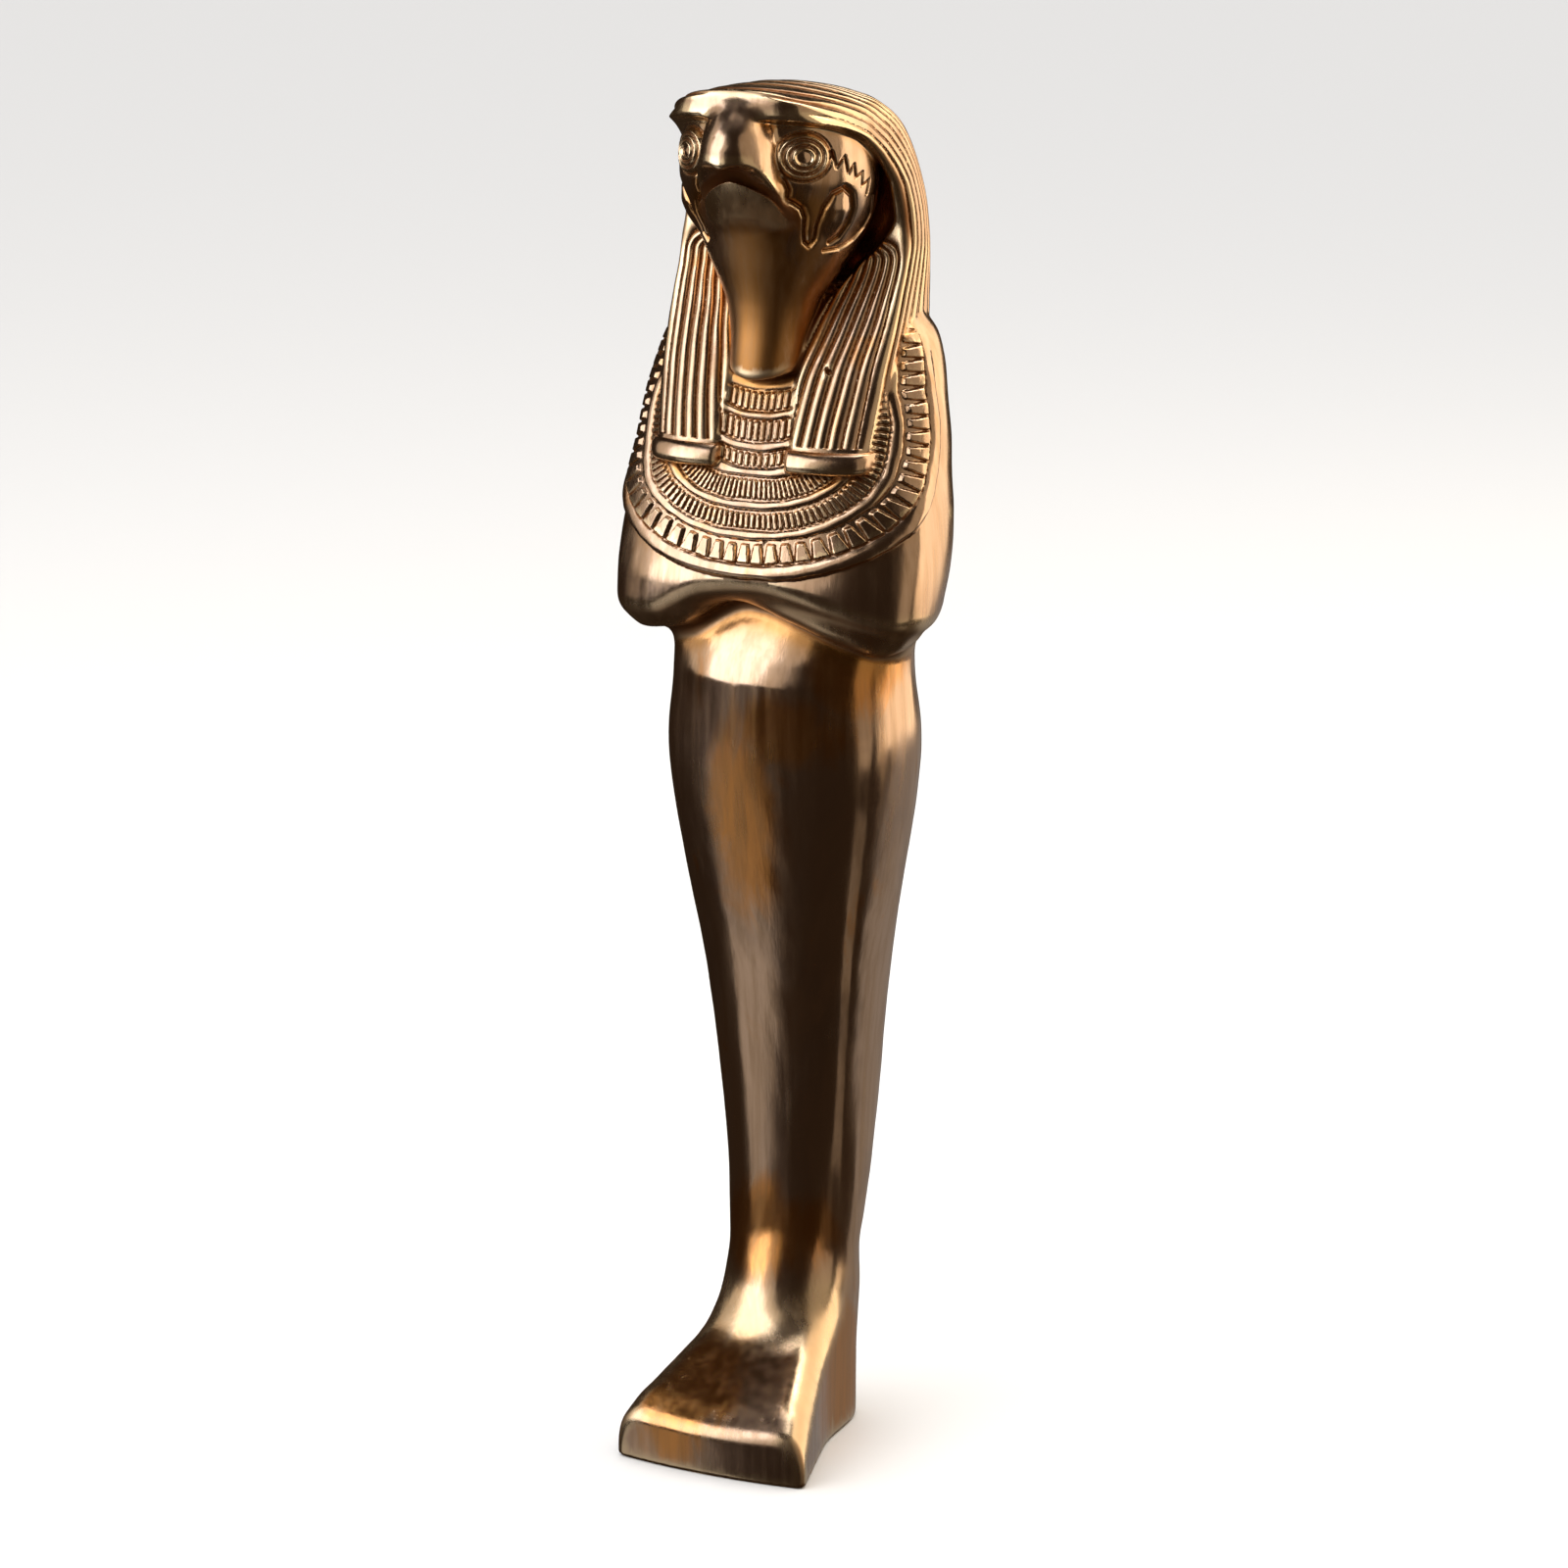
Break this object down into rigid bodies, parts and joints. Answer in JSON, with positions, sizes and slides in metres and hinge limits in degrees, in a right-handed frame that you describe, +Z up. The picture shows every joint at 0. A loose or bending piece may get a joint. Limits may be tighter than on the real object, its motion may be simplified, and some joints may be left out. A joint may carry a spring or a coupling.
{
  "type": "falcon-headed mummy figure",
  "caption": "Cast bronze standing figure of a falcon-headed god wrapped as a mummy, with striped wig, broad bead collar, crossed arms and a foot block.",
  "frame": {"origin": "middle of the bounding box in plan, on the underside of the foot block", "axes": "+Z up along the figure's height, -Y the way the beak and toes point, +X the figure's left side"},
  "size_m": [0.1266, 0.118, 0.5],
  "materials": {
    "bronze": "polished cast bronze with brown and orange patina in the hollows"
  },
  "bodies": {
    "root": {"falcon_figure": "bronze"}
  },
  "joints": []
}
